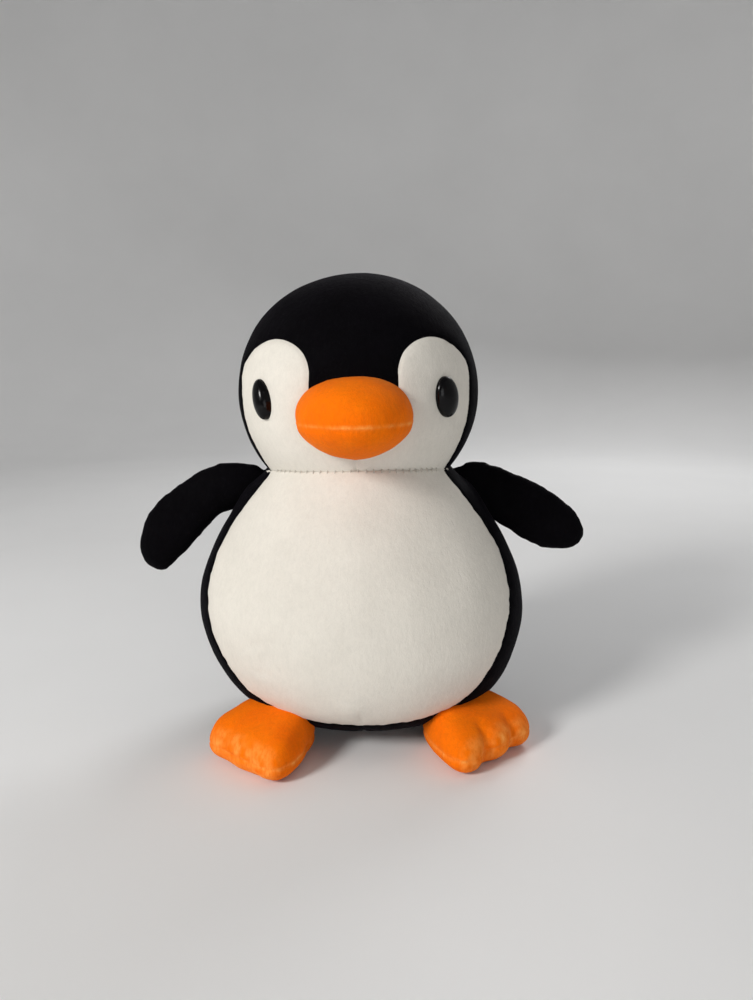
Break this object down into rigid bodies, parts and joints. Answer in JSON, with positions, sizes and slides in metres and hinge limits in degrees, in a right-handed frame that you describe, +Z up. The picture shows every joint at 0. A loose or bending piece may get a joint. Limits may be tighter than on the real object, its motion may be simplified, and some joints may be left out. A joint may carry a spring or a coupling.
{
  "type": "plush penguin",
  "caption": "Standing stuffed penguin toy with a ball-shaped head, round belly, padded beak, wings and three-toed feet.",
  "frame": {"origin": "on the body's axis, at the flat base that the toy stands on", "axes": "+Z up, the toy faces -Y, its own left is +X"},
  "size_m": [0.2636, 0.166, 0.256],
  "materials": {
    "velvet_black": "short-pile velvet, black",
    "velvet_white": "short-pile velvet, warm white",
    "velvet_orange": "short-pile velvet, orange",
    "stuffing": "polyester fibre",
    "eye_plastic": "polished black",
    "washer_plastic": "natural moulded",
    "thread_white": "polyester sewing thread, white",
    "thread_black": "polyester sewing thread, black"
  },
  "bodies": {
    "torso": {"belly_panel": "velvet_white", "back_left": "velvet_black", "back_right": "velvet_black", "body_fill": "stuffing", "neck_thread": "thread_white", "closing_thread": "thread_black"},
    "neck": {"neck_plug": "stuffing"},
    "head": {"face_left": "velvet_white", "face_right": "velvet_white", "head_crown": "velvet_black", "head_back_left": "velvet_black", "head_back_right": "velvet_black", "head_fill": "stuffing", "beak_upper": "velvet_orange", "beak_lower": "velvet_orange", "beak_fill": "stuffing", "eye_left": "eye_plastic", "eye_right": "eye_plastic", "eye_washer_left": "washer_plastic", "eye_washer_right": "washer_plastic"},
    "wing_root_left": {"wing_root_left": "velvet_black"},
    "wing_left": {"wing_front_left": "velvet_black", "wing_back_left": "velvet_black", "wing_fill_left": "stuffing"},
    "foot_left": {"foot_top_left": "velvet_orange", "foot_sole_left": "velvet_orange", "foot_fill_left": "stuffing"},
    "wing_root_right": {"wing_root_right": "velvet_black"},
    "wing_right": {"wing_front_right": "velvet_black", "wing_back_right": "velvet_black", "wing_fill_right": "stuffing"},
    "foot_right": {"foot_top_right": "velvet_orange", "foot_sole_right": "velvet_orange", "foot_fill_right": "stuffing"}
  },
  "joints": [
    {"name": "head_turn", "type": "hinge", "parent": "torso", "child": "neck", "pos_m": [0, 0, 0.19], "axis": [0, 0, 1], "range_deg": [-15, 15], "stiffness_Nm_per_rad": 0.6},
    {"name": "head_nod", "type": "hinge", "parent": "neck", "child": "head", "pos_m": [0, 0, 0.19], "axis": [1, 0, 0], "range_deg": [-10, 5], "stiffness_Nm_per_rad": 0.6},
    {"name": "wing_swing_left", "type": "hinge", "parent": "torso", "child": "wing_root_left", "pos_m": [0.06839, 0, 0.13582], "axis": [0.5261, 0, -0.8504], "range_deg": [-30, 30], "stiffness_Nm_per_rad": 0.03},
    {"name": "wing_flap_left", "type": "hinge", "parent": "wing_root_left", "child": "wing_left", "pos_m": [0.079, 0, 0.13], "axis": [0, 1, 0], "range_deg": [-25, 18], "stiffness_Nm_per_rad": 0.06},
    {"name": "foot_fold_left", "type": "hinge", "parent": "torso", "child": "foot_left", "pos_m": [0.04451, -0.03233, 0.0053], "axis": [0.7314, 0.682, 0], "range_deg": [0, 50], "stiffness_Nm_per_rad": 0.05},
    {"name": "wing_swing_right", "type": "hinge", "parent": "torso", "child": "wing_root_right", "pos_m": [-0.06839, 0, 0.13582], "axis": [0.5261, 0, 0.8504], "range_deg": [-30, 30], "stiffness_Nm_per_rad": 0.03},
    {"name": "wing_flap_right", "type": "hinge", "parent": "wing_root_right", "child": "wing_right", "pos_m": [-0.079, 0, 0.13], "axis": [0, -1, 0], "range_deg": [-38, 5], "stiffness_Nm_per_rad": 0.06},
    {"name": "foot_fold_right", "type": "hinge", "parent": "torso", "child": "foot_right", "pos_m": [-0.03389, -0.04082, 0.0053], "axis": [0.7986, -0.6018, 0], "range_deg": [0, 50], "stiffness_Nm_per_rad": 0.05}
  ]
}
